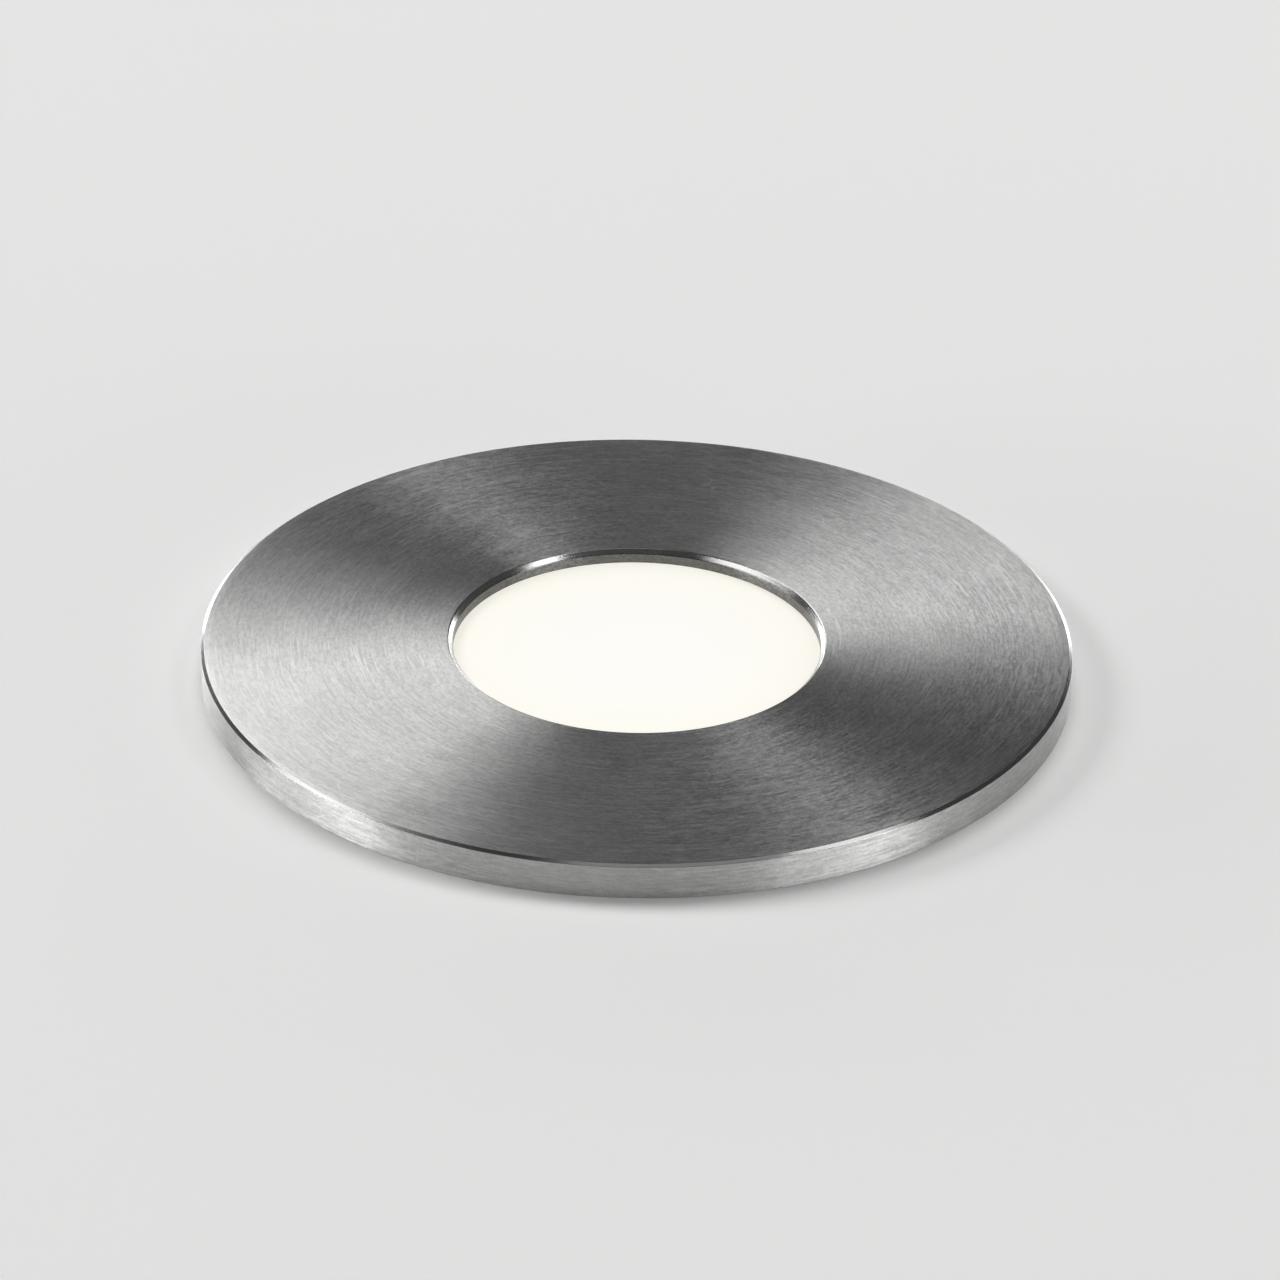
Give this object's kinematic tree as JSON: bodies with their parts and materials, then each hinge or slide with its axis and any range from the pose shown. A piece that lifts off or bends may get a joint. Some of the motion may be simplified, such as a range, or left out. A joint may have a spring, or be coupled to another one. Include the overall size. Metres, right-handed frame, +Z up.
{
  "type": "in-ground light",
  "caption": "Round in-ground light: brushed steel bezel with a glowing frosted window, screwed over a sealed finned lamp that spring clips hold in a plastic ground sleeve.",
  "frame": {"origin": "centre of the ground sleeve's mouth, level with the finished ground and the bezel's underside", "axes": "+Z up out of the ground along the lamp's middle, +X towards the right-hand spring clip"},
  "size_m": [0.07, 0.07, 0.083],
  "materials": {
    "brushed_stainless": "circular brushed",
    "frosted_glass": "satin etched, lit from behind",
    "black_rubber": "matte",
    "white_silicone": "matte",
    "opal_plastic": "opal",
    "white_plastic": "gloss",
    "emitter_phosphor": "matte",
    "board_white": "solder mask",
    "grey_pad": "matte",
    "zinc_screw": "zinc plated",
    "cast_aluminium": "turned, anodised",
    "red_insulation": "satin",
    "black_insulation": "satin",
    "terminal_plastic": "satin",
    "brass": "turned",
    "stainless_hardware": "turned",
    "nickel_brass": "nickel plated",
    "gland_nylon": "satin",
    "spring_steel": "bright",
    "sleeve_plastic": "moulded, matt"
  },
  "bodies": {
    "sleeve": {"ground_sleeve": "sleeve_plastic"},
    "lamp": {"glass_lens": "frosted_glass", "lens_gasket": "white_silicone", "diffuser": "opal_plastic", "reflector": "white_plastic", "led_emitters": "emitter_phosphor", "led_board": "board_white", "thermal_pad": "grey_pad", "board_screws": "zinc_screw", "housing": "cast_aluminium", "neck_o_ring": "black_rubber", "lead_positive": "red_insulation", "lead_negative": "black_insulation", "wire_grommets": "black_rubber", "terminal_block": "terminal_plastic", "terminal_clamps": "brass", "terminal_screws": "zinc_screw", "block_screw": "zinc_screw", "rear_cover": "cast_aluminium", "rear_cover_o_ring": "black_rubber", "rear_cover_screws": "stainless_hardware", "gland_body": "nickel_brass", "gland_o_ring": "black_rubber", "gland_claw": "gland_nylon", "gland_seal": "black_rubber", "gland_nut": "nickel_brass", "clip_pin_right": "stainless_hardware", "clip_pin_left": "stainless_hardware"},
    "bezel_seal": {"surface_gasket": "black_rubber"},
    "bezel": {"bezel": "brushed_stainless"},
    "clip_right": {"clip_arm_right": "spring_steel", "clip_spring_right": "spring_steel"},
    "clip_left": {"clip_arm_left": "spring_steel", "clip_spring_left": "spring_steel"}
  },
  "joints": [
    {"name": "lamp_lift", "type": "slide", "parent": "sleeve", "child": "lamp", "axis": [0, 0, 1], "range_m": [0, 0.052]},
    {"name": "bezel_lift", "type": "slide", "parent": "lamp", "child": "bezel_seal", "axis": [0, 0, 1], "range_m": [0, 0.0075]},
    {"name": "bezel_turn", "type": "hinge", "parent": "bezel_seal", "child": "bezel", "pos_m": [0, 0, 0], "axis": [0, 0, 1], "range_deg": [0, 1800]},
    {"name": "clip_right_pivot", "type": "hinge", "parent": "lamp", "child": "clip_right", "pos_m": [0.02423, 0, -0.0275], "axis": [0, -1, 0], "range_deg": [0, 12], "stiffness_Nm_per_rad": 0.05, "springref_deg": -28.65, "deforming": ["clip_spring_right"]},
    {"name": "clip_left_pivot", "type": "hinge", "parent": "lamp", "child": "clip_left", "pos_m": [-0.02423, 0, -0.0275], "axis": [0, 1, 0], "range_deg": [0, 12], "stiffness_Nm_per_rad": 0.05, "springref_deg": -28.65, "deforming": ["clip_spring_left"]}
  ],
  "couplings": [
    {"joint": "bezel_lift", "follows": "bezel_turn", "m_per_rad": 0.00023873}
  ]
}
